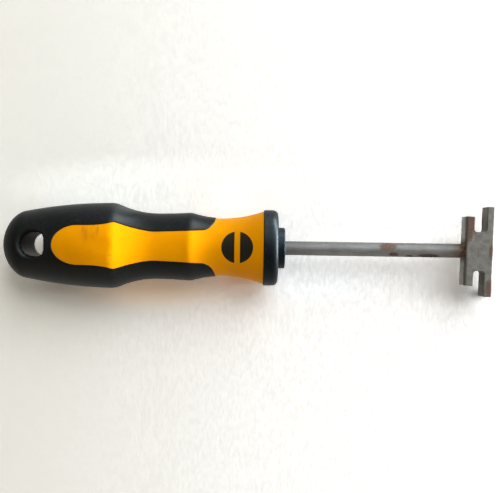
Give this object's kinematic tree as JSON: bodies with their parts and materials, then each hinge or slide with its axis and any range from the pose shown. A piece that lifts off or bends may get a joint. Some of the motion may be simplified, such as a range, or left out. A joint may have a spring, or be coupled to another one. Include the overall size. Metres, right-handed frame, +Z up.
{
  "type": "spanner screwdriver",
  "caption": "Hand driver whose round steel rod ends in a flat crosswise steel plate with two open slots, in a moulded handle with soft grip strips and a hanging hole.",
  "frame": {"origin": "on the surface the tool lies on, under the middle of its length and on its centre line", "axes": "+X along the rod towards the slotted plate, +Y across the tool towards the wide slot, +Z up from the surface it lies on"},
  "size_m": [0.208, 0.0382, 0.0304],
  "materials": {
    "rod_steel": "drawn steel, dull, with small rust spots",
    "plate_steel": "cut plate, dull, rusty along the edges",
    "braze": "brown heat tint",
    "navy_plastic": "dark blue-grey, smooth",
    "yellow_plastic": "warm yellow, lightly scuffed",
    "black_rubber": "soft, matt",
    "black_plastic": "fine grain"
  },
  "bodies": {
    "root": {"shaft": "rod_steel", "head_plate": "plate_steel", "braze_fillet": "braze", "core": "navy_plastic", "body": "yellow_plastic", "grip": "black_rubber", "collar": "black_plastic"}
  },
  "joints": []
}
